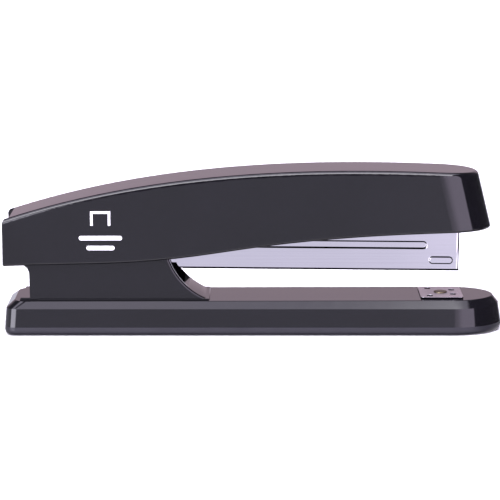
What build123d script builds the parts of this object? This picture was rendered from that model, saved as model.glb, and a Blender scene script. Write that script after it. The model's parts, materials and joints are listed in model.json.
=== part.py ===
from build123d import *
import os

os.makedirs("parts", exist_ok=True)

# Full-strip desktop stapler, in millimetres.
# +X points to the nose, +Y to the far side, +Z up. The origin is on the resting face, mid-length.

# ---- base ----
BASE_LENGTH = 200.0
BASE_HALF_WIDTH = 18.0
SOLE_HEIGHT = 3.6
SOLE_EDGE_RADIUS = 2.3
NOSE_SHOULDER = 80.0          # where the base's straight sides turn into its nose
TAIL_CORNER = 4.5             # plan radius of the base's rear corners
BASE_WALL = 2.0
WAIST_Z = 10.9                # line where the upright side meets the chamfer
WAIST_HALF_WIDTH = 17.0
DECK_Z = 13.45                # deck height at the tail
DECK_RISE = 0.0022            # the deck climbs this much per millimetre towards the nose
DECK_HALF_WIDTH = 14.0
DECK_TAIL = -95.8

# ---- main pivot ----
PIVOT_X = -88.0
PIVOT_Z = 38.0
PIN_RADIUS = 2.0
RUNNING_GAP = 0.05            # radial clearance of whatever turns on a pin
PIN_HEAD_RADIUS = 3.2
PIN_HEAD_DEPTH = 0.8

# ---- the lateral stack, from the middle outwards ----
MAGAZINE_HALF_WIDTH = 7.5
MAGAZINE_WALL = 0.8
FRAME_INNER = 8.0
FRAME_OUTER = 9.0
CHEEK_INNER = 9.5
CHEEK_OUTER = 11.6
HANDLE_INNER = 12.0
HANDLE_OUTER = 14.0

# ---- magazine ----
MAGAZINE_NOSE = 82.2
MAGAZINE_NOSE_Z = 24.7        # underside at the nose
MAGAZINE_DEPTH = 17.1
MAGAZINE_DROOP = 0.0091       # the magazine falls this much per millimetre towards the nose
MAGAZINE_STEP_X = -31.0       # behind this the channel is shallower, to pass over the tower's ramp
MAGAZINE_STEP = 2.4
RAIL_HALF_WIDTH = 5.6
RAIL_SHEET = 0.6
RAIL_HEIGHT = 8.3             # rail top above the magazine's underside
ROD_HEIGHT = 5.4              # rod centre above the magazine's underside
ROD_RADIUS = 1.1

# ---- anvil ----
ANVIL_X = 75.5
ANVIL_LENGTH = 17.0
ANVIL_WIDTH = 21.5
ANVIL_Z = 14.0                # underside of the plate, just clear of the deck
ANVIL_THICKNESS = 0.5
STUD_RADIUS = 2.0
STUD_HEAD_RADIUS = 2.7
STUD_HEAD_HEIGHT = 0.4
POCKET_X = 4.75               # pocket pairs this far ahead of and behind the stud
CLINCH_Y = 4.25
PIN_Y = 7.35
POCKET_LENGTH = 3.6
POCKET_WIDTH = 2.4
POCKET_DEPTH = 0.35
BUTTON_Z = 0.9
BUTTON_RADIUS = 5.6
BUTTON_THICKNESS = 2.5
BUTTON_NECK_RADIUS = 3.4
BUTTON_HEIGHT = 5.6
STUD_FOOT_Z = 1.2

# ---- under the base ----
SOLE_FLOOR = 1.8
SOLE_GROOVES = 6
SOLE_GROOVE_PITCH = 4.0
SOLE_GROOVE_X = -16.0
SOLE_GROOVE_LENGTH = 150.0
SOLE_GROOVE_WIDTH = 1.4
SOLE_GROOVE_DEPTH = 0.5
PLATE_LENGTH = 172.0
PLATE_HALF_WIDTH = 9.8
PLATE_SHEET = 1.2
PLATE_DEPTH = 5.0
SCREW_RADIUS = 1.3
SCREW_HEAD_Z = 10.1
SCREW_HEAD_RADIUS = 2.8
SCREW_HEAD_HEIGHT = 1.8
SCREW_SHANK = 9.5
RECESS_LENGTH = 3.4
RECESS_WIDTH = 0.8
RECESS_DEPTH = 0.9
SCREW_BOSS_RADIUS = 3.0
DECK_SCREWS = [(-80.0, -5.5), (-80.0, 5.5), (-40.0, -5.5), (-40.0, 5.5)]
BOSS_TOP = 19.5
LIFT_SPRING_X = -58.0

# ---- magazine details, in the magazine's own frame ----
GROOVE_FRONT = -12.8
GROOVE_REAR = -97.0
GROOVE_W = 10.25
GROOVE_WIDTH = 3.4
GROOVE_DEPTH = 0.55
CAPSULE_U = -7.35
CAPSULE_W = 4.2
CAPSULE_LENGTH = 9.8
CAPSULE_WIDTH = 3.2
CAPSULE_HEIGHT = 0.45
PRESSING_TAPER = 50.0         # slope of the walls of what is pressed in or out
RIVET_RADIUS = 1.0
RIVET_RIM = 0.8               # how far a rivet's head overlaps its hole
RIVET_HEAD = 0.6
ROD_REAR = -162.0
BLOCK_LENGTH = 3.6
BLOCK_HEIGHT = 6.2
PUSHER_REAR = -19.2           # rear face of the saddle and of its eye
EYE_RADIUS = 1.95
PUSHER_FRONT = -3.4
PUSHER_HALF_WIDTH = 6.3
SLOT_FRONT = -13.4
SLOT_REAR = -121.0

# ---- handle insides ----
EAR_LENGTH = 2.7              # the side walls reach this far behind the top
WEB_REAR = -80.0
WEB_REAR_Z = 46.2
WEB_RISE = 0.05
FRAME_FRONT = 81.8
FLANGE_Z = 51.8
COVER_SCREWS = (-50.0, 10.0, 66.0)
COVER_SCREW_HEAD = 2.6
COVER_SCREW_HEIGHT = 1.5
COVER_SCREW_SHANK = 8.0
PILOT_DEPTH = 7.2
LEAF_RIVETS = (-24.0, -16.0)
LEAF_FRONT = -12.0
LEAF_BEND = -30.0
LEAF_TIP = -64.0
LEAF_SHEET = 0.5
LEAF_HALF_WIDTH = 3.0
DRIVER_RIVET_RADIUS = 0.8
DRIVER_RIVET_HEAD = 0.5       # its head's height, and how far it overlaps the hole
DRIVER_RIVETS = [(-3.5, 52.7), (3.5, 52.7)]  # y, z
DRIVER_TOP = 53.0
DRIVER_TIP = 34.0
DRIVER_HALF_WIDTH = 6.2
DRIVER_SHEET = 0.6


def deck_height(x):
    """Height of the base's deck at x."""
    return DECK_Z + DECK_RISE * (x - DECK_TAIL)


def side_plane(y):
    """A plane facing -Y at this y, whose local axes are X and Z."""
    return Plane.XZ.offset(-y)


def save(piece, label):
    """Name a finished piece and write its file."""
    piece.part.label = label
    export_step(piece.part, f"parts/{label}.step")


# =============================== base ===============================

def base_outline(half_width, tail, nose, corner=TAIL_CORNER):
    """Plan of the base at one level: round rear corners, straight sides and a half-ellipse nose."""
    with BuildLine() as outline:
        Line((tail, half_width - corner), (tail, corner - half_width))
        RadiusArc((tail, corner - half_width), (tail + corner, -half_width), -corner)
        Line((tail + corner, -half_width), (NOSE_SHOULDER, -half_width))
        EllipticalCenterArc(
            (NOSE_SHOULDER, 0), nose - NOSE_SHOULDER, half_width, start_angle=-90, arc_size=180
        )
        Line((NOSE_SHOULDER, half_width), (tail + corner, half_width))
        RadiusArc((tail + corner, half_width), (tail, half_width - corner), -corner)
    make_face(outline.edges())


def deck_plane(drop=0.0):
    """The sloping plane of the deck, or one this far under it."""
    return Plane(origin=(0, 0, deck_height(0) - drop), x_dir=(1, 0, DECK_RISE), z_dir=(-DECK_RISE, 0, 1))


HALF_LENGTH = BASE_LENGTH / 2
BASE_TAIL = -99.4
WAIST_TAIL = -98.9
WAIST_NOSE = 98.8
DECK_NOSE = 96.4
DECK_CORNER = 5.0
CEILING_Z = WAIST_Z - 1.4     # where the hollow under the base starts to narrow

with BuildPart() as base_shell:
    # the upright band, then the chamfered band
    with BuildSketch(Plane.XY.offset(SOLE_HEIGHT)):
        base_outline(BASE_HALF_WIDTH, BASE_TAIL, HALF_LENGTH)
    with BuildSketch(Plane.XY.offset(WAIST_Z)):
        base_outline(WAIST_HALF_WIDTH, WAIST_TAIL, WAIST_NOSE)
    loft(ruled=True)
    with BuildSketch(Plane.XY.offset(WAIST_Z)):
        base_outline(WAIST_HALF_WIDTH, WAIST_TAIL, WAIST_NOSE)
    with BuildSketch(deck_plane()):
        base_outline(DECK_HALF_WIDTH, DECK_TAIL, DECK_NOSE, DECK_CORNER)
    loft(ruled=True)
    fillet(base_shell.faces().sort_by(Axis.Z)[-1].edges(), 0.5)
    # the hollow underneath
    with BuildSketch(Plane.XY.offset(SOLE_HEIGHT)):
        base_outline(BASE_HALF_WIDTH - BASE_WALL, BASE_TAIL + BASE_WALL, HALF_LENGTH - BASE_WALL, 3.0)
    with BuildSketch(Plane.XY.offset(CEILING_Z)):
        base_outline(WAIST_HALF_WIDTH - BASE_WALL, WAIST_TAIL + BASE_WALL, WAIST_NOSE - BASE_WALL, 3.0)
    loft(ruled=True, mode=Mode.SUBTRACT)
    with BuildSketch(Plane.XY.offset(CEILING_Z)):
        base_outline(WAIST_HALF_WIDTH - BASE_WALL, WAIST_TAIL + BASE_WALL, WAIST_NOSE - BASE_WALL, 3.0)
    with BuildSketch(deck_plane(BASE_WALL)):
        base_outline(DECK_HALF_WIDTH - 1.6, DECK_TAIL + 1.6, DECK_NOSE - 1.6, 2.0)
    loft(ruled=True, mode=Mode.SUBTRACT)
    # holes for the anvil's stud and the deck screws
    with Locations((ANVIL_X, 0, DECK_Z)):
        Hole(STUD_RADIUS + RUNNING_GAP, depth=BASE_WALL * 3)
    with Locations(*[(x, y, DECK_Z + 1) for x, y in DECK_SCREWS]):
        Hole(SCREW_RADIUS, depth=BASE_WALL * 3)
save(base_shell, "base_shell")

with BuildPart() as base_sole:
    with BuildSketch():
        base_outline(BASE_HALF_WIDTH, BASE_TAIL, HALF_LENGTH)
    extrude(amount=SOLE_HEIGHT)
    fillet(base_sole.faces().sort_by(Axis.Z)[0].edges(), SOLE_EDGE_RADIUS)
    # the pocket that leaves a rim under the shell's wall
    with BuildSketch(Plane.XY.offset(SOLE_FLOOR)):
        base_outline(BASE_HALF_WIDTH - BASE_WALL, BASE_TAIL + BASE_WALL, HALF_LENGTH - BASE_WALL, 3.0)
    extrude(amount=SOLE_HEIGHT, mode=Mode.SUBTRACT)
    # grip grooves underneath, and the hole for the anvil's button
    with BuildSketch():
        with Locations((SOLE_GROOVE_X, 0)):
            with GridLocations(0, SOLE_GROOVE_PITCH, 1, SOLE_GROOVES):
                SlotOverall(SOLE_GROOVE_LENGTH, SOLE_GROOVE_WIDTH)
    extrude(amount=SOLE_GROOVE_DEPTH, mode=Mode.SUBTRACT)
    with BuildSketch():
        with Locations((ANVIL_X, 0)):
            Circle(BUTTON_RADIUS + 0.8)
    extrude(amount=SOLE_HEIGHT, mode=Mode.SUBTRACT)
save(base_sole, "base_sole")

with BuildPart() as base_plate:
    # a flat top under the deck, with turned-down sides
    with BuildSketch(deck_plane(BASE_WALL)):
        Rectangle(PLATE_LENGTH, 2 * PLATE_HALF_WIDTH)
    extrude(amount=-PLATE_SHEET)
    with BuildSketch(deck_plane(BASE_WALL)):
        for side in (-1, 1):
            with Locations((0, side * (PLATE_HALF_WIDTH - PLATE_SHEET / 2))):
                Rectangle(PLATE_LENGTH, PLATE_SHEET)
    extrude(amount=-PLATE_DEPTH)
    with Locations((ANVIL_X, 0, DECK_Z)):
        Hole(STUD_RADIUS + RUNNING_GAP, depth=20)
    with Locations(*[(x, y, DECK_Z) for x, y in DECK_SCREWS]):
        Hole(SCREW_RADIUS, depth=20)
save(base_plate, "base_plate")


# =============================== tower ===============================

TOWER_TAIL = -89.5
FOOT_TAIL = -93.6             # the tower's foot reaches back over the deck
FOOT_THICKNESS = 1.0
CHEEK_RADIUS = 6.6            # radius of the cheeks round the pin
TOWER_FLOOR = 2.0             # thickness of the tower's floor
REAR_WALL_TOP = 22.5          # low enough for the opened handle's tail to pass over
RAMP_SLOT_Z = 18.5            # floor of the slot in the ramp that the magazine drops into
RAMP_TOE_X = -17.6
SKIRT_TAIL = -86.5
SKIRT = 0.6                   # the skirt's height, and how far it stands out
RAMP_FOOT_X = -25.4           # front end of the space between the cheeks, at the tower's floor

with BuildPart() as hinge_tower:
    with BuildSketch(side_plane(0)):
        with BuildLine():
            Polyline(
                (RAMP_TOE_X, deck_height(RAMP_TOE_X)),
                (FOOT_TAIL, deck_height(FOOT_TAIL)),
                (FOOT_TAIL + 0.4, deck_height(FOOT_TAIL) + FOOT_THICKNESS),
                (TOWER_TAIL, deck_height(TOWER_TAIL) + FOOT_THICKNESS),
                (TOWER_TAIL - 0.2, 24.6),
                (TOWER_TAIL - 0.9, 26.4),
                (TOWER_TAIL - 2.4, 27.6),
                (PIVOT_X - CHEEK_RADIUS, PIVOT_Z - 3),
                (PIVOT_X - CHEEK_RADIUS, PIVOT_Z),
            )
            RadiusArc((PIVOT_X - CHEEK_RADIUS, PIVOT_Z), (PIVOT_X, PIVOT_Z + CHEEK_RADIUS), CHEEK_RADIUS)
            Polyline((PIVOT_X, PIVOT_Z + CHEEK_RADIUS), (-66, 43), (-36.5, 35.5), (-34.6, 33.0))
            ThreePointArc((-34.6, 33.0), (-29.6, 22.3), (RAMP_TOE_X, deck_height(RAMP_TOE_X)))
        make_face()
    extrude(amount=CHEEK_OUTER, both=True)
    # a narrow skirt along the foot of each cheek
    with BuildSketch(deck_plane()):
        with Locations(((SKIRT_TAIL + RAMP_TOE_X) / 2, 0)):
            Rectangle(RAMP_TOE_X - SKIRT_TAIL - SKIRT, 2 * (CHEEK_OUTER + SKIRT))
    extrude(amount=SKIRT)
    # ease the long edges where the cheeks meet the ramp and the back
    ramp_edges = hinge_tower.edges().filter_by(GeomType.CIRCLE).filter_by(lambda e: e.length > 20)
    fillet(ramp_edges, 0.9)
    # the space between the cheeks, open at the top, and through the ramp for the magazine
    with BuildSketch(side_plane(0)):
        Polygon(
            (TOWER_TAIL + BASE_WALL, deck_height(TOWER_TAIL) + TOWER_FLOOR),
            (RAMP_FOOT_X, deck_height(RAMP_FOOT_X) + TOWER_FLOOR),
            (RAMP_FOOT_X - 2.6, RAMP_SLOT_Z),
            (0, RAMP_SLOT_Z),
            (0, 60),
            (-120, 60),
            (-120, REAR_WALL_TOP),
            (TOWER_TAIL + BASE_WALL, REAR_WALL_TOP),
            align=None,
        )
    extrude(amount=CHEEK_INNER, both=True, mode=Mode.SUBTRACT)
    # bosses for the deck screws
    with BuildSketch(Plane.XY.offset(DECK_Z + 1)):
        with Locations(*DECK_SCREWS):
            Circle(SCREW_BOSS_RADIUS)
    extrude(amount=BOSS_TOP - DECK_Z - 1)
    with Locations(*[(x, y, BOSS_TOP) for x, y in DECK_SCREWS]):
        Hole(SCREW_RADIUS, depth=BOSS_TOP)
    # the pin's bore, sunk on both outer faces for its head and its clip
    with BuildSketch(side_plane(0)):
        with Locations((PIVOT_X, PIVOT_Z)):
            Circle(PIN_RADIUS)
    extrude(amount=20, both=True, mode=Mode.SUBTRACT)
    for side in (-1, 1):
        with BuildSketch(side_plane(side * CHEEK_OUTER)):
            with Locations((PIVOT_X, PIVOT_Z)):
                Circle(PIN_HEAD_RADIUS + 0.2)
        extrude(amount=side * (PIN_HEAD_DEPTH + 0.1), mode=Mode.SUBTRACT)
save(hinge_tower, "hinge_tower")

with BuildPart() as deck_screws:
    with Locations(*DECK_SCREWS):
        with Locations((0, 0, SCREW_HEAD_Z)):
            Cylinder(SCREW_HEAD_RADIUS, SCREW_HEAD_HEIGHT, align=(Align.CENTER, Align.CENTER, Align.MAX))
            Cylinder(SCREW_RADIUS, SCREW_SHANK, align=(Align.CENTER, Align.CENTER, Align.MIN))
    # cross recesses in the heads
    with BuildSketch(Plane.XY.offset(SCREW_HEAD_Z - SCREW_HEAD_HEIGHT)):
        with Locations(*DECK_SCREWS):
            Rectangle(RECESS_LENGTH, RECESS_WIDTH)
            Rectangle(RECESS_WIDTH, RECESS_LENGTH)
    extrude(amount=RECESS_DEPTH, mode=Mode.SUBTRACT)
save(deck_screws, "deck_screws")

with BuildPart() as hinge_pin:
    with BuildSketch(side_plane(-CHEEK_OUTER + 0.05)):
        with Locations((PIVOT_X, PIVOT_Z)):
            Circle(PIN_HEAD_RADIUS)
    extrude(amount=-PIN_HEAD_DEPTH)
    with BuildSketch(side_plane(-CHEEK_OUTER + 0.05)):
        with Locations((PIVOT_X, PIVOT_Z)):
            Circle(PIN_RADIUS)
    extrude(amount=-2 * CHEEK_OUTER + 0.1)
    fillet(hinge_pin.edges().group_by(Axis.Y)[0], 0.35)
save(hinge_pin, "hinge_pin")

with BuildPart() as hinge_pin_clip:
    with BuildSketch(side_plane(CHEEK_OUTER - 0.1)):
        with Locations((PIVOT_X, PIVOT_Z)):
            Circle(PIN_HEAD_RADIUS)
            Circle(PIN_RADIUS, mode=Mode.SUBTRACT)
        with Locations((PIVOT_X + PIN_HEAD_RADIUS, PIVOT_Z)):
            Rectangle(PIN_HEAD_RADIUS, 1.6, mode=Mode.SUBTRACT)
    extrude(amount=PIN_HEAD_DEPTH - 0.1)
save(hinge_pin_clip, "hinge_pin_clip")


# ============================== springs ==============================

def coil(start, direction, radius, wire, turns, length):
    """A round-wire helical spring. Its centreline starts at start and runs along direction."""
    with BuildPart() as spring:
        with BuildLine() as path:
            Helix(length / turns, length, radius, center=start, direction=direction)
        with BuildSketch(Plane(origin=path.line @ 0, z_dir=path.line % 0)):
            Circle(wire / 2)
        sweep(is_frenet=True)
    return spring


lift_seat = deck_height(LIFT_SPRING_X) + TOWER_FLOOR + 0.6
lift_spring = coil((LIFT_SPRING_X, 0, lift_seat), (0, 0, 1), radius=4.0, wire=1.0, turns=5, length=11.2)
save(lift_spring, "lift_spring")


# ============================= magazine ==============================

# The magazine is drawn in its own frame: u runs along it and is 0 at its nose, w is the height over its
# underside.
MAGAZINE = Plane(
    origin=(MAGAZINE_NOSE, 0, MAGAZINE_NOSE_Z), x_dir=(1, 0, -MAGAZINE_DROOP), z_dir=(MAGAZINE_DROOP, 0, 1)
)
PIVOT_U, _, PIVOT_W = MAGAZINE.to_local_coords(Vector(PIVOT_X, 0, PIVOT_Z))
STEP_U = MAGAZINE_STEP_X - MAGAZINE_NOSE
CHANNEL_REAR = PIVOT_U + 2.0
CHANNEL_EAR_RADIUS = 5.35
CHANNEL_CORNER = 1.2          # radius of the channel's upright front corners
FLOOR_FRONT = -3.0            # front end of the channel's floor, behind the slot that staples leave by
RAIL_FRONT = -3.2
RAIL_REAR = -158.2
FOOT_PLACES = (-100.0, -27.0)  # the rail's riveted feet
RAIL_FOOT_LENGTH = 8.0
TONGUE_SLOT_WIDTH = 2.2


def magazine_side(y):
    """The plane of the magazine's side outline at this y, with local axes u and w."""
    return Plane(
        origin=(MAGAZINE_NOSE, y, MAGAZINE_NOSE_Z), x_dir=(1, 0, -MAGAZINE_DROOP), z_dir=(0, -1, 0)
    )


def magazine_level(w):
    """The plane of the magazine's plan at height w."""
    return MAGAZINE.offset(w)


def rod_section(u):
    """The plane across the guide rod at u, facing the nose."""
    return Plane(origin=MAGAZINE.from_local_coords((u, 0, ROD_HEIGHT)), x_dir=(0, 1, 0), z_dir=MAGAZINE.x_dir)


with BuildPart() as magazine_channel:
    with BuildSketch(magazine_side(0)):
        with BuildLine():
            Polyline(
                (CHANNEL_REAR, MAGAZINE_STEP),
                (CHANNEL_REAR, MAGAZINE_DEPTH),
                (0, MAGAZINE_DEPTH),
                (0, 0),
                (STEP_U + 3.0, 0),
            )
            RadiusArc((STEP_U + 3.0, 0), (STEP_U, MAGAZINE_STEP), 3.2)
            Line((STEP_U, MAGAZINE_STEP), (CHANNEL_REAR, MAGAZINE_STEP))
        make_face()
        with Locations((PIVOT_U, PIVOT_W)):
            Circle(CHANNEL_EAR_RADIUS)
    extrude(amount=MAGAZINE_HALF_WIDTH, both=True)
    upright_edges = magazine_channel.edges().filter_by(lambda e: abs(e.tangent_at(0).Z) > 0.9)
    fillet(upright_edges.group_by(Axis.X)[-1], CHANNEL_CORNER)
    # the inside, open at the top and at the rear
    with BuildSketch(magazine_side(0)):
        with BuildLine():
            Polyline(
                (PIVOT_U - 10, MAGAZINE_STEP + MAGAZINE_WALL),
                (PIVOT_U - 10, MAGAZINE_DEPTH + 10),
                (-MAGAZINE_WALL, MAGAZINE_DEPTH + 10),
                (-MAGAZINE_WALL, MAGAZINE_WALL),
                (STEP_U + 4.0, MAGAZINE_WALL),
                (STEP_U + 1.5, MAGAZINE_STEP + MAGAZINE_WALL),
                close=True,
            )
        make_face()
    extrude(amount=MAGAZINE_HALF_WIDTH - MAGAZINE_WALL, both=True, mode=Mode.SUBTRACT)
    # the slot in the floor that staples leave by
    with BuildSketch(magazine_level(-1)):
        with Locations(((FLOOR_FRONT - MAGAZINE_WALL) / 2, 0)):
            Rectangle(-FLOOR_FRONT - MAGAZINE_WALL, 2 * (MAGAZINE_HALF_WIDTH - MAGAZINE_WALL))
    extrude(amount=3, mode=Mode.SUBTRACT)
    # the stiffening groove, pressed in, and the capsule, pressed out, on both sides
    for side in (-1, 1):
        with BuildSketch(magazine_side(side * MAGAZINE_HALF_WIDTH)):
            with Locations(((GROOVE_FRONT + GROOVE_REAR) / 2, GROOVE_W)):
                SlotOverall(GROOVE_FRONT - GROOVE_REAR, GROOVE_WIDTH)
        extrude(amount=side * GROOVE_DEPTH, taper=PRESSING_TAPER, mode=Mode.SUBTRACT)
        with BuildSketch(magazine_side(side * MAGAZINE_HALF_WIDTH)):
            with Locations((CAPSULE_U, CAPSULE_W)):
                SlotOverall(CAPSULE_LENGTH, CAPSULE_WIDTH)
        extrude(amount=-side * CAPSULE_HEIGHT, taper=PRESSING_TAPER)
    # the pin's bore, and the rivet holes in the floor
    with BuildSketch(magazine_side(0)):
        with Locations((PIVOT_U, PIVOT_W)):
            Circle(PIN_RADIUS + RUNNING_GAP)
    extrude(amount=20, both=True, mode=Mode.SUBTRACT)
    with BuildSketch(magazine_level(-1)):
        with Locations(*[(u, 0) for u in FOOT_PLACES]):
            Circle(RIVET_RADIUS)
    extrude(amount=3, mode=Mode.SUBTRACT)
save(magazine_channel, "magazine_channel")

with BuildPart() as staple_rail:
    with BuildSketch(magazine_side(0)):
        Polygon(
            (RAIL_FRONT, MAGAZINE_WALL),
            (RAIL_FRONT, RAIL_HEIGHT),
            (RAIL_REAR, RAIL_HEIGHT),
            (RAIL_REAR, MAGAZINE_STEP + MAGAZINE_WALL),
            (STEP_U + 5, MAGAZINE_STEP + MAGAZINE_WALL),
            (STEP_U + 5, MAGAZINE_WALL),
            align=None,
        )
    extrude(amount=RAIL_HALF_WIDTH, both=True)
    # the hollow, with a closed front
    with BuildSketch(magazine_side(0)):
        Polygon(
            (RAIL_FRONT - RAIL_SHEET, 0),
            (RAIL_FRONT - RAIL_SHEET, RAIL_HEIGHT - RAIL_SHEET),
            (RAIL_REAR - 1, RAIL_HEIGHT - RAIL_SHEET),
            (RAIL_REAR - 1, 0),
            align=None,
        )
    extrude(amount=RAIL_HALF_WIDTH - RAIL_SHEET, both=True, mode=Mode.SUBTRACT)
    # feet that are riveted to the channel's floor
    with BuildSketch(magazine_level(MAGAZINE_WALL)):
        with Locations(*[(u, 0) for u in FOOT_PLACES]):
            Rectangle(RAIL_FOOT_LENGTH, 2 * RAIL_HALF_WIDTH - RAIL_SHEET)
            Circle(RIVET_RADIUS, mode=Mode.SUBTRACT)
    extrude(amount=RAIL_SHEET)
    # the slot that the pusher's tongue runs in, and the rod's hole in the front
    with BuildSketch(magazine_level(RAIL_HEIGHT - 2)):
        with Locations(((SLOT_FRONT + SLOT_REAR) / 2, 0)):
            SlotOverall(SLOT_FRONT - SLOT_REAR, TONGUE_SLOT_WIDTH)
    extrude(amount=4, mode=Mode.SUBTRACT)
    with BuildSketch(rod_section(RAIL_FRONT - 2)):
        Circle(ROD_RADIUS)
    extrude(amount=4, mode=Mode.SUBTRACT)
save(staple_rail, "staple_rail")

with BuildPart() as rail_rivets:
    with BuildSketch(magazine_level(0)):
        with Locations(*[(u, 0) for u in FOOT_PLACES]):
            Circle(RIVET_RADIUS)
    extrude(amount=MAGAZINE_WALL + RAIL_SHEET)
    with BuildSketch(magazine_level(MAGAZINE_WALL + RAIL_SHEET)):
        with Locations(*[(u, 0) for u in FOOT_PLACES]):
            Circle(RIVET_RADIUS + RIVET_RIM)
    extrude(amount=RIVET_HEAD)
save(rail_rivets, "rail_rivets")

with BuildPart() as guide_rod:
    with BuildSketch(rod_section(ROD_REAR)):
        Circle(ROD_RADIUS)
    extrude(amount=RAIL_FRONT - ROD_REAR)
save(guide_rod, "guide_rod")

with BuildPart() as rod_block:
    with BuildSketch(rod_section(ROD_REAR)):
        with Locations((0, BLOCK_HEIGHT / 2 + MAGAZINE_STEP + MAGAZINE_WALL - ROD_HEIGHT)):
            Rectangle(2 * (MAGAZINE_HALF_WIDTH - MAGAZINE_WALL), BLOCK_HEIGHT)
        Circle(ROD_RADIUS, mode=Mode.SUBTRACT)
    extrude(amount=BLOCK_LENGTH)
save(rod_block, "rod_block")

spring_rear = ROD_REAR + BLOCK_LENGTH + 0.3
pusher_spring = coil(
    MAGAZINE.from_local_coords((spring_rear, 0, ROD_HEIGHT)),
    MAGAZINE.x_dir,
    radius=1.65,
    wire=0.4,
    turns=46,
    length=PUSHER_REAR - 0.3 - spring_rear,
)
save(pusher_spring, "pusher_spring")

with BuildPart() as hinge_sleeve:
    with BuildSketch(side_plane(0)):
        with Locations((PIVOT_X, PIVOT_Z)):
            Circle(PIN_HEAD_RADIUS)
            Circle(PIN_RADIUS + RUNNING_GAP, mode=Mode.SUBTRACT)
    extrude(amount=MAGAZINE_HALF_WIDTH - MAGAZINE_WALL - 0.1, both=True)
save(hinge_sleeve, "hinge_sleeve")

with BuildPart() as pusher:
    # the saddle over the rail
    with BuildSketch(magazine_side(0)):
        with Locations(((PUSHER_FRONT + PUSHER_REAR) / 2, RAIL_HEIGHT + 0.4)):
            Rectangle(PUSHER_FRONT - PUSHER_REAR, 6.0)
    extrude(amount=PUSHER_HALF_WIDTH, both=True)
    fillet(pusher.edges().filter_by(lambda e: abs(e.tangent_at(0).X) > 0.9).group_by(Axis.Z)[-1], 0.8)
    with BuildSketch(magazine_side(0)):
        with Locations(((PUSHER_FRONT + PUSHER_REAR) / 2, RAIL_HEIGHT - 2.9)):
            Rectangle(PUSHER_FRONT - PUSHER_REAR + 2, 6.0)
    extrude(amount=RAIL_HALF_WIDTH + 0.12, both=True, mode=Mode.SUBTRACT)
    # the thumb scoop on top
    with BuildSketch(magazine_side(0)):
        with Locations(((PUSHER_FRONT + PUSHER_REAR) / 2 - 1, RAIL_HEIGHT + 7.6)):
            Circle(5.6)
    extrude(amount=PUSHER_HALF_WIDTH - 1.4, both=True, mode=Mode.SUBTRACT)
    # the tongue through the rail's slot, with an eye round the rod
    with BuildSketch(magazine_side(0)):
        with Locations((PUSHER_REAR + 2, ROD_HEIGHT + 1.6)):
            Rectangle(4.0, 3.4)
    extrude(amount=0.9, both=True)
    with BuildSketch(rod_section(PUSHER_REAR)):
        Circle(EYE_RADIUS)
    extrude(amount=4.0)
    with BuildSketch(rod_section(PUSHER_REAR - 1)):
        Circle(ROD_RADIUS + RUNNING_GAP)
    extrude(amount=6.0, mode=Mode.SUBTRACT)
save(pusher, "pusher")


# ============================== handle ===============================

# Upper and lower edges of the cover seen from the side.
CROWN = [(-100, 46.2), (-50, 58.7), (0, 64.6), (50, 65.8), (102, 63.7)]
HEM = [
    (-100, 27.5), (-75, 28.2), (-50, 29.0), (-25, 31.3), (0, 34.9),
    (25, 37.8), (50, 39.7), (75, 40.8), (102, 41.9),
]
NOSE_TIP_X = 95.2             # tip of the cover's nose at NOSE_TIP_Z
NOSE_TIP_Z = 42.5
NOSE_SLANT = 0.245            # the nose falls back this much per millimetre of height
NOSE_DEPTH = 16.5             # length of the rounded part of the nose
NOSE_FULLNESS = 0.62          # how square its plan is: 0.55 is an ellipse
COVER_TAIL = -100.0
COVER_WALL = HANDLE_OUTER - HANDLE_INNER
CROWN_EDGE_RADIUS = 2.0
HEM_EDGE_RADIUS = 0.9
COVER_BOSS_RADIUS = 3.2
FRAME_EAR_RADIUS = 5.3


def nose_outline(height, inset):
    """Plan of the cover at one height: straight sides and a full, round nose."""
    half_width = HANDLE_OUTER - inset
    shoulder = NOSE_TIP_X + NOSE_SLANT * (NOSE_TIP_Z - height) - NOSE_DEPTH
    tail = COVER_TAIL - 5 * inset
    depth = NOSE_DEPTH - inset
    with BuildLine() as outline:
        Polyline((shoulder, half_width), (tail, half_width), (tail, -half_width), (shoulder, -half_width))
        for side in (-1, 1):
            Bezier(
                (shoulder, side * half_width),
                (shoulder + NOSE_FULLNESS * depth, side * half_width),
                (shoulder + depth, side * NOSE_FULLNESS * half_width),
                (shoulder + depth, 0),
            )
    make_face(outline.edges())


def cover_form(inset):
    """The cover's outer form, or the same form taken in by inset on its sides, top and nose."""
    drop = Vector(0, -inset)
    low = Vector(0, -5 * inset)
    with BuildPart() as form:
        with BuildSketch(side_plane(0)):
            with BuildLine():
                crown = Spline(*[Vector(*p) + drop for p in CROWN])
                hem = Spline(*[Vector(*p) + low for p in HEM])
                Line(crown @ 0, hem @ 0)
                Line(crown @ 1, hem @ 1)
            make_face()
        extrude(amount=HANDLE_OUTER - inset, both=True)
        with BuildSketch(Plane.XY.offset(20)):
            nose_outline(20, inset)
        with BuildSketch(Plane.XY.offset(75)):
            nose_outline(75, inset)
        loft(mode=Mode.INTERSECT)
    return form.part


def web_top(x):
    """Height of the frame's web at x."""
    return WEB_REAR_Z + WEB_RISE * (x - WEB_REAR)


outer_form = cover_form(0)
inner_form = cover_form(COVER_WALL)
boss_form = cover_form(COVER_WALL / 2)

with BuildPart() as cover_bosses:
    for x in COVER_SCREWS:
        with BuildSketch(Plane.XY.offset(web_top(x) + 0.3)):
            with Locations((x, 0)):
                Circle(COVER_BOSS_RADIUS)
        extrude(amount=30)
    add(boss_form, mode=Mode.INTERSECT)

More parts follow.
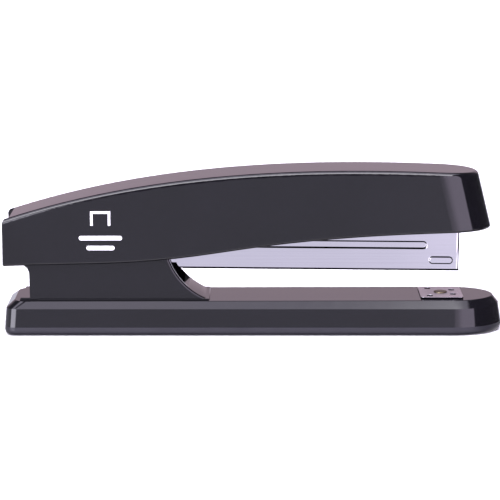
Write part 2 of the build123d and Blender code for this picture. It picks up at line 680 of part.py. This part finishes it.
with BuildPart() as handle_cover:
    add(outer_form)
    crown_face = handle_cover.faces().sort_by(Axis.Z)[-1]
    fillet(crown_face.edges(), CROWN_EDGE_RADIUS)
    hem_face = handle_cover.faces().sort_by(Axis.Z)[0]
    fillet(hem_face.edges(), HEM_EDGE_RADIUS)
    add(inner_form, mode=Mode.SUBTRACT)
    # between the side walls the top stops short of the tail
    with BuildSketch(Plane.XY.offset(20)):
        with Locations((COVER_TAIL, 0)):
            Rectangle(2 * EAR_LENGTH, 2 * HANDLE_INNER)
    extrude(amount=40, mode=Mode.SUBTRACT)
    add(cover_bosses.part)
    with Locations(*[(x, 0, web_top(x)) for x in COVER_SCREWS]):
        Cylinder(SCREW_RADIUS, PILOT_DEPTH, align=(Align.CENTER, Align.CENTER, Align.MIN), mode=Mode.SUBTRACT)
save(handle_cover, "handle_cover")

with BuildPart() as handle_frame:
    with BuildSketch(side_plane(0)):
        Polygon(
            (PIVOT_X, PIVOT_Z - FRAME_EAR_RADIUS),
            (-42, 32.8),
            (0, 38.6),
            (40, 42.8),
            (FRAME_FRONT, 44.4),
            (FRAME_FRONT, web_top(FRAME_FRONT)),
            (WEB_REAR, web_top(WEB_REAR)),
            (PIVOT_X, PIVOT_Z + FRAME_EAR_RADIUS),
            align=None,
        )
        with Locations((PIVOT_X, PIVOT_Z)):
            Circle(FRAME_EAR_RADIUS)
    extrude(amount=FRAME_OUTER, both=True)
    # the inside, under the web
    with BuildSketch(side_plane(0)):
        Polygon(
            (-110, 20),
            (FRAME_FRONT + 5, 20),
            (FRAME_FRONT + 5, FLANGE_Z),
            (FRAME_FRONT - PLATE_SHEET, FLANGE_Z),
            (FRAME_FRONT - PLATE_SHEET, web_top(FRAME_FRONT) - PLATE_SHEET),
            (WEB_REAR, web_top(WEB_REAR) - PLATE_SHEET),
            (WEB_REAR, 60),
            (-110, 60),
            align=None,
        )
    extrude(amount=FRAME_INNER, both=True, mode=Mode.SUBTRACT)
    with BuildSketch(side_plane(0)):
        with Locations((PIVOT_X, PIVOT_Z)):
            Circle(PIN_RADIUS + RUNNING_GAP)
    extrude(amount=20, both=True, mode=Mode.SUBTRACT)
    # screw and rivet holes in the web, and rivet holes in the front flange
    with Locations(*[(x, 0, 60) for x in COVER_SCREWS]):
        Hole(SCREW_RADIUS, depth=20)
    with Locations(*[(x, 0, 60) for x in LEAF_RIVETS]):
        Hole(RIVET_RADIUS, depth=20)
    with BuildSketch(Plane.YZ.offset(FRAME_FRONT - 5)):
        with Locations(*DRIVER_RIVETS):
            Circle(DRIVER_RIVET_RADIUS)
    extrude(amount=10, mode=Mode.SUBTRACT)
save(handle_frame, "handle_frame")

with BuildPart() as cover_screws:
    for x in COVER_SCREWS:
        with Locations((x, 0, web_top(x) - PLATE_SHEET - 0.15)):
            Cylinder(COVER_SCREW_HEAD, COVER_SCREW_HEIGHT, align=(Align.CENTER, Align.CENTER, Align.MAX))
            Cylinder(SCREW_RADIUS, COVER_SCREW_SHANK, align=(Align.CENTER, Align.CENTER, Align.MIN))
        with BuildSketch(Plane.XY.offset(web_top(x) - PLATE_SHEET - 0.15 - COVER_SCREW_HEIGHT)):
            with Locations((x, 0)):
                Rectangle(RECESS_LENGTH, RECESS_WIDTH)
                Rectangle(RECESS_WIDTH, RECESS_LENGTH)
        extrude(amount=RECESS_DEPTH, mode=Mode.SUBTRACT)
save(cover_screws, "cover_screws")

with BuildPart() as driver_blade:
    with BuildSketch(Plane.YZ.offset(FRAME_FRONT - PLATE_SHEET)):
        with Locations((0, (DRIVER_TOP + DRIVER_TIP) / 2)):
            Rectangle(2 * DRIVER_HALF_WIDTH, DRIVER_TOP - DRIVER_TIP)
        with Locations(*DRIVER_RIVETS):
            Circle(DRIVER_RIVET_RADIUS, mode=Mode.SUBTRACT)
    extrude(amount=-DRIVER_SHEET)
save(driver_blade, "driver_blade")

with BuildPart() as driver_rivets:
    with BuildSketch(Plane.YZ.offset(FRAME_FRONT - PLATE_SHEET - DRIVER_SHEET)):
        with Locations(*DRIVER_RIVETS):
            Circle(DRIVER_RIVET_RADIUS)
    extrude(amount=PLATE_SHEET + DRIVER_SHEET)
    with BuildSketch(Plane.YZ.offset(FRAME_FRONT)):
        with Locations(*DRIVER_RIVETS):
            Circle(DRIVER_RIVET_RADIUS + DRIVER_RIVET_HEAD)
    extrude(amount=DRIVER_RIVET_HEAD)
save(driver_rivets, "driver_rivets")

leaf_front_z = web_top(LEAF_FRONT) - PLATE_SHEET - LEAF_SHEET / 2
leaf_bend_z = web_top(LEAF_BEND) - PLATE_SHEET - LEAF_SHEET / 2
leaf_tip_z = MAGAZINE.from_local_coords((LEAF_TIP - MAGAZINE_NOSE, 0, RAIL_HEIGHT)).Z + LEAF_SHEET

with BuildPart() as return_spring:
    with BuildSketch(side_plane(0)):
        with BuildLine():
            FilletPolyline(
                (LEAF_FRONT, leaf_front_z),
                (LEAF_BEND, leaf_bend_z),
                (LEAF_TIP, leaf_tip_z),
                (LEAF_TIP - 4, leaf_tip_z + 1.6),
                radius=3.0,
            )
        trace(line_width=LEAF_SHEET)
    extrude(amount=LEAF_HALF_WIDTH, both=True)
    with Locations(*[(x, 0, 60) for x in LEAF_RIVETS]):
        Hole(RIVET_RADIUS, depth=20)
save(return_spring, "return_spring")

with BuildPart() as return_rivets:
    for x in LEAF_RIVETS:
        with Locations((x, 0, web_top(x) + 0.1)):
            Cylinder(RIVET_RADIUS, 2.2, align=(Align.CENTER, Align.CENTER, Align.MAX))
            Cylinder(RIVET_RADIUS + RIVET_RIM, RIVET_HEAD, align=(Align.CENTER, Align.CENTER, Align.MIN))
save(return_rivets, "return_rivets")


# ============================== anvil ================================

ANVIL_TOP = ANVIL_Z + ANVIL_THICKNESS

with BuildPart() as anvil_plate:
    with BuildSketch(Plane.XY.offset(ANVIL_Z)):
        with Locations((ANVIL_X, 0)):
            RectangleRounded(ANVIL_LENGTH, ANVIL_WIDTH, 1.2)
            Circle(STUD_RADIUS, mode=Mode.SUBTRACT)
    extrude(amount=ANVIL_THICKNESS)
    # the pair that turns the legs in, under the magazine's nose, and the pair that turns them out
    with BuildSketch(Plane.XY.offset(ANVIL_TOP)):
        for x, y in ((POCKET_X, CLINCH_Y), (-POCKET_X, PIN_Y)):
            for side in (-1, 1):
                with Locations((ANVIL_X + x, side * y)):
                    SlotOverall(POCKET_LENGTH, POCKET_WIDTH, rotation=90)
    extrude(amount=-POCKET_DEPTH, mode=Mode.SUBTRACT)
save(anvil_plate, "anvil_plate")

with BuildPart() as anvil_stud:
    with Locations((ANVIL_X, 0, STUD_FOOT_Z)):
        Cylinder(STUD_RADIUS, ANVIL_TOP - STUD_FOOT_Z, align=(Align.CENTER, Align.CENTER, Align.MIN))
    with Locations((ANVIL_X, 0, ANVIL_TOP)):
        Cylinder(STUD_HEAD_RADIUS, STUD_HEAD_HEIGHT, align=(Align.CENTER, Align.CENTER, Align.MIN))
    fillet(anvil_stud.edges().sort_by(Axis.Z)[-1], 0.3)
save(anvil_stud, "anvil_stud")

with BuildPart() as anvil_button:
    with BuildSketch(Plane.XY.offset(BUTTON_Z)):
        with Locations((ANVIL_X, 0)):
            Circle(BUTTON_RADIUS)
    extrude(amount=BUTTON_THICKNESS)
    fillet(anvil_button.edges().sort_by(Axis.Z)[0], 0.6)
    with BuildSketch(Plane.XY.offset(BUTTON_Z)):
        with Locations((ANVIL_X, 0)):
            Circle(BUTTON_NECK_RADIUS)
    extrude(amount=BUTTON_HEIGHT)
    with BuildSketch(Plane.XY.offset(BUTTON_Z)):
        with Locations((ANVIL_X, 0)):
            Circle(STUD_RADIUS + RUNNING_GAP)
    extrude(amount=BUTTON_HEIGHT, mode=Mode.SUBTRACT)
    with BuildSketch(Plane.XY.offset(BUTTON_Z)):
        with Locations((ANVIL_X, 0)):
            Circle(3.2)
    extrude(amount=1.5, mode=Mode.SUBTRACT)
save(anvil_button, "anvil_button")

with BuildPart() as anvil_clip:
    with BuildSketch(Plane.XY.offset(BUTTON_Z + 0.6)):
        with Locations((ANVIL_X, 0)):
            Circle(3.0)
            Circle(STUD_RADIUS, mode=Mode.SUBTRACT)
        with Locations((ANVIL_X + 2.5, 0)):
            Rectangle(2.6, 1.4, mode=Mode.SUBTRACT)
    extrude(amount=0.8)
save(anvil_clip, "anvil_clip")

spring_seat = BUTTON_Z + BUTTON_THICKNESS
spring_ceiling = deck_height(ANVIL_X) - BASE_WALL - PLATE_SHEET
anvil_spring = coil(
    (ANVIL_X, 0, spring_seat + 0.4),
    (0, 0, 1),
    radius=4.4,
    wire=0.7,
    turns=5,
    length=spring_ceiling - spring_seat - 0.8,
)
save(anvil_spring, "anvil_spring")
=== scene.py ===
"""Looks of the full-strip desktop stapler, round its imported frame.

Everything is in metres, with +X towards the nose.
"""

import json
import math

import bmesh
import bpy
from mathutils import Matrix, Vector


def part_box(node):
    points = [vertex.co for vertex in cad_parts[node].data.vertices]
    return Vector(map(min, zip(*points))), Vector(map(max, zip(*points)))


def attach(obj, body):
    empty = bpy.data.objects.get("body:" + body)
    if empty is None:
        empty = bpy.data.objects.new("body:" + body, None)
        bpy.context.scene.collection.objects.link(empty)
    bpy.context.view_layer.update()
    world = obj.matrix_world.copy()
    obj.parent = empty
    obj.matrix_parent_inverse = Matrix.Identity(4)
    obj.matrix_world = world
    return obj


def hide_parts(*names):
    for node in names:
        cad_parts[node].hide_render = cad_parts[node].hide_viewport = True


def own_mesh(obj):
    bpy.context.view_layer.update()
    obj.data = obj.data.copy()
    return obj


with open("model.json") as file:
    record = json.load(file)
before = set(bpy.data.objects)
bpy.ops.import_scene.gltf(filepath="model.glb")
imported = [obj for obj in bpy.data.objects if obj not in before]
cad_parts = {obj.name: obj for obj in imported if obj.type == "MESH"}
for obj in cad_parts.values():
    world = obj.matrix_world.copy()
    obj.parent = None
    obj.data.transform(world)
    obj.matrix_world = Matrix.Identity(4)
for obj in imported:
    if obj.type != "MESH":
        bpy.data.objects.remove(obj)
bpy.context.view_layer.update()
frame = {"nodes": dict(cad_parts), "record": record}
scene = bpy.context.scene
nodes = frame["nodes"]

MM = 0.001


# ------------------------------------------------------------------ camera

CAMERA_DISTANCE = 0.950
CAMERA_ELEVATION = math.radians(10.5)
CAMERA_X = -0.0015
AIM_Z = 0.0317
ORBIT_Z = 0.033
LENS_MM = 169.6


def make_camera():
    """The camera looks square at the near side, from a little above."""
    data = bpy.data.cameras.new("camera")
    data.lens = LENS_MM
    data.sensor_width = 36.0
    data.clip_start = 0.05
    data.clip_end = 50.0
    camera = bpy.data.objects.new("camera", data)
    scene.collection.objects.link(camera)
    camera.location = (
        CAMERA_X,
        -CAMERA_DISTANCE * math.cos(CAMERA_ELEVATION),
        ORBIT_Z + CAMERA_DISTANCE * math.sin(CAMERA_ELEVATION),
    )
    aim = Vector((CAMERA_X, 0, AIM_Z)) - camera.location
    camera.rotation_mode = "QUATERNION"
    camera.rotation_quaternion = aim.to_track_quat("-Z", "Y")
    scene.camera = camera


# ------------------------------------------------------------ node helpers


class Graph:
    """A material's node tree, with short ways to add what the finishes share."""

    def __init__(self, name):
        self.material = bpy.data.materials.new(name)
        self.material.use_nodes = True
        self.tree = self.material.node_tree
        self.shader = self.tree.nodes["Principled BSDF"]
        self.place = self.add("ShaderNodeTexCoord").outputs["Object"]

    def add(self, kind, **settings):
        """A new node, with its settings."""
        node = self.tree.nodes.new(kind)
        for key, value in settings.items():
            setattr(node, key, value)
        return node

    def link(self, start, end):
        """Join an output to an input."""
        self.tree.links.new(start, end)

    def stretched(self, scale):
        """The object's coordinates, stretched along each axis."""
        mapping = self.add("ShaderNodeMapping")
        mapping.inputs["Scale"].default_value = scale
        self.link(self.place, mapping.inputs["Vector"])
        return mapping.outputs["Vector"]

    def noise(self, scale, detail=3.0, roughness=0.5, place=None):
        """A noise pattern, from 0 to 1."""
        node = self.add("ShaderNodeTexNoise")
        node.inputs["Scale"].default_value = scale
        node.inputs["Detail"].default_value = detail
        node.inputs["Roughness"].default_value = roughness
        self.link(place or self.place, node.inputs["Vector"])
        return node.outputs["Fac"]

    def spread(self, value, low, high, start=0.3, end=0.7):
        """A pattern's values between start and end, spread over low to high."""
        node = self.add("ShaderNodeMapRange")
        node.inputs["From Min"].default_value = start
        node.inputs["From Max"].default_value = end
        node.inputs["To Min"].default_value = low
        node.inputs["To Max"].default_value = high
        self.link(value, node.inputs["Value"])
        return node.outputs["Result"]

    def mixed(self, factor, first, second):
        """A colour between two, by a pattern."""
        node = self.add("ShaderNodeMix", data_type="RGBA")
        node.inputs[6].default_value = (*first, 1)
        node.inputs[7].default_value = (*second, 1)
        self.link(factor, node.inputs[0])
        return node.outputs[2]

    def over(self, factor, colour, paint):
        """A colour with a paint over it, by a pattern."""
        node = self.add("ShaderNodeMix", data_type="RGBA")
        self.link(factor, node.inputs[0])
        self.link(colour, node.inputs[6])
        node.inputs[7].default_value = (*paint, 1)
        return node.outputs[2]

    def split(self, vector):
        """A vector's three parts, by name."""
        node = self.add("ShaderNodeSeparateXYZ")
        self.link(vector, node.inputs["Vector"])
        return node.outputs

    def bumped(self, height, strength, distance):
        """Bump from a pattern, on top of any bump already there."""
        node = self.add("ShaderNodeBump")
        node.inputs["Strength"].default_value = strength
        node.inputs["Distance"].default_value = distance
        normal = self.shader.inputs["Normal"]
        if normal.is_linked:
            self.link(normal.links[0].from_socket, node.inputs["Normal"])
        self.link(height, node.inputs["Height"])
        self.link(node.outputs["Normal"], normal)

    def set(self, **values):
        """Plain values on the shader's own sockets."""
        for key, value in values.items():
            self.shader.inputs[key.replace("_", " ")].default_value = value


# --------------------------------------------------------------- materials

MAGAZINE_TILT = 0.0091        # the magazine falls this much per unit of length towards the nose
# height of the painted dark line along the channel's bottom edge
EDGE_SHADE_RISE = 0.70 * MM


def moulded_plastic(name, dark, light, low, high, ripple):
    """Glossy moulded plastic: near-black, with flow marks in its gloss and a slight ripple."""
    graph = Graph(name)
    graph.set(IOR=1.5, Metallic=0.0)
    cloud = graph.noise(35.0, 2.0)
    graph.link(graph.mixed(cloud, dark, light), graph.shader.inputs["Base Color"])
    haze = graph.noise(220.0, 4.0, 0.6)
    graph.link(graph.spread(haze, low, high), graph.shader.inputs["Roughness"])
    graph.bumped(graph.noise(60.0, 1.0), ripple, 0.0004)
    return graph.material


def rubber(name, dark, light):
    """Satin rubber with a fine leathery grain."""
    graph = Graph(name)
    graph.set(IOR=1.48, Metallic=0.0)
    cloud = graph.noise(90.0, 4.0)
    graph.link(graph.mixed(cloud, dark, light), graph.shader.inputs["Base Color"])
    graph.link(graph.spread(cloud, 0.38, 0.52), graph.shader.inputs["Roughness"])
    graph.bumped(graph.noise(1800.0, 3.0), 0.25, 0.0001)
    return graph.material


def plated_steel(name, dark, light, low, high, lines, depth, hollow=None, slope_shade=None, edge_shade_top=None):
    """Plated or drawn sheet steel: fine drawing lines along it, and a cloudy sheen.

    Below the height hollow the steel is coloured near-black: painted shade in the pressed pockets.
    Where the skin slopes by more than slope_shade, it is painted dark too: painted shade and dark
    reflection on sloped walls, such as pressed grooves and bosses. Below the height edge_shade_top
    at x = 0, along the magazine's own tilt, a dark line is painted: a painted dark reflection along
    the channel's rolled bottom edge, which is not modelled.
    """
    graph = Graph(name)
    graph.set(Metallic=1.0)
    streaks = graph.noise(1.0, 4.0, 0.6, graph.stretched(lines))
    cloud = graph.noise(45.0, 3.0)
    colour = graph.mixed(streaks, dark, light)
    if hollow is not None:
        # painted shade: below the height hollow, the pressed pocket floors are coloured near-black
        height = graph.split(graph.place)["Z"]
        pocket_shade_mask = graph.spread(height, 1.0, 0.0, hollow - 0.04 * MM, hollow)
        colour = graph.over(pocket_shade_mask, colour, (0.012, 0.011, 0.014))
    if slope_shade is not None:
        # painted shade and dark reflection: sloped walls, such as pressed grooves and bosses, are
        # coloured near-black
        normal = graph.add("ShaderNodeTexCoord").outputs["Normal"]
        slope = graph.add("ShaderNodeMath", operation="ABSOLUTE")
        graph.link(graph.split(normal)["Z"], slope.inputs[0])
        wall = graph.spread(slope.outputs[0], 0.0, 1.0, slope_shade, slope_shade + 0.2)
        level = graph.spread(slope.outputs[0], 1.0, 0.0, 0.86, 0.92)
        slope_shade_mask = graph.add("ShaderNodeMath", operation="MULTIPLY")
        graph.link(wall, slope_shade_mask.inputs[0])
        graph.link(level, slope_shade_mask.inputs[1])
        colour = graph.over(slope_shade_mask.outputs[0], colour, (0.03, 0.03, 0.035))
    if edge_shade_top is not None:
        # painted dark reflection: a near-black line along the channel's bottom edge, standing in for
        # its rolled corner, which is not modelled
        level = graph.add("ShaderNodeVectorMath", operation="DOT_PRODUCT")
        graph.link(graph.place, level.inputs[0])
        level.inputs[1].default_value = (MAGAZINE_TILT, 0.0, 1.0)
        edge_shade_mask = graph.spread(level.outputs["Value"], 1.0, 0.0, edge_shade_top - 0.06 * MM, edge_shade_top + 0.06 * MM)
        colour = graph.over(edge_shade_mask, colour, (0.004, 0.004, 0.005))
    graph.link(colour, graph.shader.inputs["Base Color"])
    graph.link(graph.spread(cloud, low, high), graph.shader.inputs["Roughness"])
    graph.bumped(streaks, depth, 0.0001)
    return graph.material


def matte_plastic(name, dark, light):
    """Plain inner plastic with a fine spark-eroded texture."""
    graph = Graph(name)
    graph.set(IOR=1.5, Metallic=0.0, Roughness=0.55)
    grain = graph.noise(1500.0, 3.0)
    graph.link(graph.mixed(grain, dark, light), graph.shader.inputs["Base Color"])
    graph.bumped(grain, 0.2, 0.0001)
    return graph.material


def make_finishes():
    """One finish for each of the record's material slots, and the channel's own chrome."""
    lengthways = (12.0, 900.0, 2200.0)
    crossways = (1400.0, 20.0, 1400.0)
    anvil_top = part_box("anvil_plate")[1][2]
    channel_low, channel_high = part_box("magazine_channel")
    # top of the painted dark line along the channel's bottom edge
    edge_shade_top = channel_low[2] + MAGAZINE_TILT * channel_high[0] + EDGE_SHADE_RISE
    return {
        "black_gloss": moulded_plastic(
            "black_gloss", (0.0022, 0.0020, 0.0030), (0.0040, 0.0036, 0.0055), 0.06, 0.10, 0.02
        ),
        "sole_grey": rubber("sole_grey", (0.008, 0.0075, 0.013), (0.012, 0.011, 0.018)),
        # both chromes carry painted shade and dark reflection on their sloped walls
        "chrome": plated_steel(
            "chrome", (0.63, 0.615, 0.67), (0.71, 0.695, 0.75), 0.08, 0.16, lengthways, 0.03, slope_shade=0.3
        ),
        "channel": plated_steel(
            "channel_chrome", (0.63, 0.615, 0.67), (0.71, 0.695, 0.75), 0.08, 0.16, lengthways, 0.03,
            slope_shade=0.3, edge_shade_top=edge_shade_top,
        ),
        "zinc_steel": plated_steel(
            "zinc_steel", (0.48, 0.48, 0.50), (0.62, 0.62, 0.64), 0.28, 0.42, lengthways, 0.15
        ),
        "spring_steel": plated_steel(
            "spring_steel", (0.38, 0.38, 0.40), (0.55, 0.55, 0.57), 0.22, 0.34, lengthways, 0.1
        ),
        "anvil_steel": plated_steel(
            "anvil_steel", (0.50, 0.48, 0.52), (0.66, 0.64, 0.68), 0.22, 0.36, crossways, 0.15,
            # painted shade in the anvil's pressed pockets, from 0.08 mm under the plate's top
            hollow=anvil_top - 0.08 * MM,
        ),
        "brass": plated_steel(
            "brass", (0.11, 0.09, 0.06), (0.22, 0.18, 0.11), 0.25, 0.38, crossways, 0.1
        ),
        "inner_plastic": matte_plastic("inner_plastic", (0.02, 0.02, 0.022), (0.03, 0.03, 0.033)),
    }


def dress_nodes(finishes):
    """Give every CAD node its slot's finish."""
    for entry in frame["record"]["subparts"]:
        node = nodes[entry["node"]]
        node.data.materials.clear()
        node.data.materials.append(finishes[entry["material_slot"]])
    nodes["magazine_channel"].data.materials[0] = finishes["channel"]


# ------------------------------------------------------- edges and the print

EDGE_WIDTHS = {               # rounded edges of stamped and moulded pieces, in metres
    "magazine_channel": 0.22 * MM,
    "anvil_plate": 0.12 * MM,
    "handle_frame": 0.15 * MM,
    "hinge_tower": 0.25 * MM,
    "staple_rail": 0.12 * MM,
    "pusher": 0.15 * MM,
}


def ease_edges():
    """Break the sharp edges of the stamped and moulded pieces, as tooling does."""
    for name, width in EDGE_WIDTHS.items():
        weld = nodes[name].modifiers.new("weld", "WELD")
        weld.merge_threshold = 0.001 * MM
        bevel = nodes[name].modifiers.new("edges", "BEVEL")
        bevel.width = width
        bevel.segments = 2
        bevel.limit_method = "ANGLE"
        bevel.angle_limit = math.radians(38)
        bevel.harden_normals = True


PRINT_PLACE = (-60.9 * MM, 41.5 * MM)   # middle of the print on the handle's side: x, z
PRINT_LIFT = 0.02 * MM
BAR_CORNERS = 32              # points round a rounded bar


def printed_mark(finish):
    """A plain printed pictogram on the handle's near side: a staple over two lines."""
    mesh = bpy.data.meshes.new("print")
    form = bmesh.new()
    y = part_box("handle_cover")[0][1] - PRINT_LIFT

    def bar(x, z, half_length, half_height):
        """A rounded bar about x, z, measured from the print's middle."""
        radius = min(half_length, half_height)
        corners = []
        for turn in range(BAR_CORNERS):
            angle = 2 * math.pi * (turn + 0.5) / BAR_CORNERS
            cx = math.copysign(half_length - radius, math.cos(angle)) + radius * math.cos(angle)
            cz = math.copysign(half_height - radius, math.sin(angle)) + radius * math.sin(angle)
            place = (PRINT_PLACE[0] + x * MM + cx * MM, y, PRINT_PLACE[1] + z * MM + cz * MM)
            corners.append(form.verts.new(place))
        form.faces.new(corners)

    staple = [
        (-4, 2.6), (-3, 2.6), (-3, 7.4), (3, 7.4), (3, 2.6), (4, 2.6), (4, 8.4), (-4, 8.4),
    ]
    outline = [
        form.verts.new((PRINT_PLACE[0] + x * MM, y, PRINT_PLACE[1] + z * MM)) for x, z in staple
    ]
    form.faces.new(outline)
    bar(0.0, -2.4, 8.6, 0.9)
    bar(0.0, -6.4, 5.6, 0.9)
    form.to_mesh(mesh)
    form.free()
    piece = bpy.data.objects.new("print_near", mesh)
    scene.collection.objects.link(piece)
    mesh.materials.append(finish)
    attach(piece, "handle")


# ------------------------------------------------------------- stand-in springs


def live_spring(name, body):
    """Stand a coil, a copy of a CAD spring's mesh, in for the hidden CAD spring, riding on its body.
    """
    coil = bpy.data.objects.new(name + "_coil", nodes[name].data.copy())
    scene.collection.objects.link(coil)
    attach(coil, body)
    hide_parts(name)
    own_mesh(coil)


def make_springs():
    """Stand coils in for the pusher's spring, on the magazine, and the anvil's, on the base."""
    live_spring(
        "pusher_spring", "magazine",
    )
    live_spring(
        "anvil_spring", "base"
    )


# ------------------------------------------------------------------ studio

FLOOR_SIZE = 6.0


def make_floor():
    """A plain pale floor."""
    mesh = bpy.data.meshes.new("floor")
    half = FLOOR_SIZE / 2
    corners = [(-half, -half, 0), (half, -half, 0), (half, half, 0), (-half, half, 0)]
    mesh.from_pydata(corners, [], [(0, 1, 2, 3)])
    floor = bpy.data.objects.new("floor", mesh)
    scene.collection.objects.link(floor)
    graph = Graph("floor")
    graph.set(Roughness=0.9, Specular_IOR_Level=0.0)
    graph.link(
        graph.mixed(graph.noise(3.0), (0.93, 0.93, 0.935), (0.95, 0.95, 0.95)),
        graph.shader.inputs["Base Color"],
    )
    mesh.materials.append(graph.material)
    floor.visible_glossy = False


class Surround:
    """The studio that the object reflects, painted by direction, with soft panels."""

    def __init__(self):
        world = bpy.data.worlds.new("studio")
        scene.world = world
        world.use_nodes = True
        self.tree = world.node_tree
        self.background = self.tree.nodes["Background"]
        place = self.tree.nodes.new("ShaderNodeTexCoord")
        split = self.tree.nodes.new("ShaderNodeSeparateXYZ")
        self.tree.links.new(place.outputs["Generated"], split.inputs["Vector"])
        self.x, self.y, self.z = split.outputs
        ahead = self.math("MULTIPLY", self.y, -1.0)
        # round the X axis from the near horizon, 0, by the zenith, 90, to the far horizon, 180
        self.sweep = self.math("DEGREES", self.math("ARCTAN2", self.z, ahead))
        # round the Z axis from the near side, 0, towards the nose, 90
        self.azimuth = self.math("DEGREES", self.math("ARCTAN2", self.x, ahead))
        self.elevation = self.math("DEGREES", self.math("ARCSINE", self.z))

    def math(self, operation, first, second=None):
        """One sum on two values, each a socket or a number."""
        node = self.tree.nodes.new("ShaderNodeMath")
        node.operation = operation
        for socket, value in zip(node.inputs, (first, second)):
            if isinstance(value, float):
                socket.default_value = value
            elif value is not None:
                self.tree.links.new(value, socket)
        return node.outputs[0]

    def step(self, angle, place, soft):
        """0 below place and 1 above it, over a soft edge."""
        node = self.tree.nodes.new("ShaderNodeMapRange")
        node.interpolation_type = "SMOOTHSTEP"
        node.inputs["From Min"].default_value = place - soft
        node.inputs["From Max"].default_value = place + soft
        self.tree.links.new(angle, node.inputs["Value"])
        return node.outputs["Result"]

    def band(self, angle, low, high, soft):
        """1 between two angles."""
        above = self.step(angle, low, soft)
        below = self.math("SUBTRACT", 1.0, self.step(angle, high, soft))
        return self.math("MULTIPLY", above, below)

    def painted(self, colour, mask, paint):
        """The colour so far, with a paint over it where the mask is 1."""
        node = self.tree.nodes.new("ShaderNodeMix")
        node.data_type = "RGBA"
        self.tree.links.new(mask, node.inputs[0])
        if isinstance(colour, tuple):
            node.inputs[6].default_value = (*colour, 1)
        else:
            self.tree.links.new(colour, node.inputs[6])
        node.inputs[7].default_value = (*paint, 1)
        return node.outputs[2]

    def finish(self, colour, seen):
        """Light with the painting, and show a plain colour where the camera sees past the floor."""
        self.tree.links.new(colour, self.background.inputs["Color"])
        plain = self.tree.nodes.new("ShaderNodeBackground")
        plain.inputs["Color"].default_value = (*seen, 1)
        path = self.tree.nodes.new("ShaderNodeLightPath")
        choice = self.tree.nodes.new("ShaderNodeMixShader")
        self.tree.links.new(path.outputs["Is Camera Ray"], choice.inputs[0])
        self.tree.links.new(self.background.outputs[0], choice.inputs[1])
        self.tree.links.new(plain.outputs[0], choice.inputs[2])
        output = self.tree.nodes["World Output"]
        self.tree.links.new(choice.outputs[0], output.inputs["Surface"])


def make_world():
    """The surround: pale below, dark above, with softboxes overhead and at both front corners."""
    studio = Surround()
    colour = (0.10, 0.095, 0.11)
    for low, high, soft, paint in (
        (-200.0, 18.0, 4.0, (0.84, 0.82, 0.97)),
        (-58.0, -24.0, 8.0, (1.7, 1.65, 1.8)),
        (-156.0, -122.0, 8.0, (1.7, 1.65, 1.8)),
        (-122.0, -58.0, 6.0, (0.12, 0.11, 0.13)),
        (150.0, 200.0, 7.0, (0.64, 0.51, 0.60)),
    ):
        colour = studio.painted(colour, studio.band(studio.sweep, low, high, soft), paint)
    # the panels overhead end short of the nose and the tail
    middle = studio.band(studio.x, -0.55, 0.40, 0.04)
    for low, high, soft, paint in (
        (50.0, 80.0, 4.0, (9.0, 8.8, 9.6)),
        (80.0, 116.0, 4.0, (2.6, 2.45, 3.0)),
    ):
        panel = studio.math("MULTIPLY", middle, studio.band(studio.sweep, low, high, soft))
        colour = studio.painted(colour, panel, paint)
    level = studio.band(studio.elevation, -13.0, 40.0, 3.0)
    nose_side = studio.math("MULTIPLY", level, studio.band(studio.azimuth, 49.0, 150.0, 1.5))
    colour = studio.painted(colour, nose_side, (0.10, 0.095, 0.11))
    fading = studio.step(studio.azimuth, 13.0, 11.0)
    panel = studio.math("MULTIPLY", fading, studio.band(studio.azimuth, 2.0, 49.0, 1.5))
    front = studio.math("MULTIPLY", studio.band(studio.elevation, -13.0, 46.0, 4.0), panel)
    colour = studio.painted(colour, front, (3.0, 2.65, 3.4))
    corner = studio.math(
        "MULTIPLY",
        studio.band(studio.elevation, -16.0, 34.0, 3.0),
        studio.band(studio.azimuth, -58.0, -16.0, 3.0),
    )
    colour = studio.painted(colour, corner, (8.0, 7.8, 9.0))
    studio.finish(colour, (0.94, 0.94, 0.94))


def make_studio():
    """Floor and surround."""
    make_floor()
    make_world()
    scene.view_settings.view_transform = "Standard"


# -------------------------------------------------------------------- make

make_camera()
make_studio()
finishes = make_finishes()
dress_nodes(finishes)
ease_edges()
print_ink = matte_plastic("print_ink", (0.72, 0.71, 0.74), (0.80, 0.79, 0.82))
printed_mark(print_ink)
make_springs()
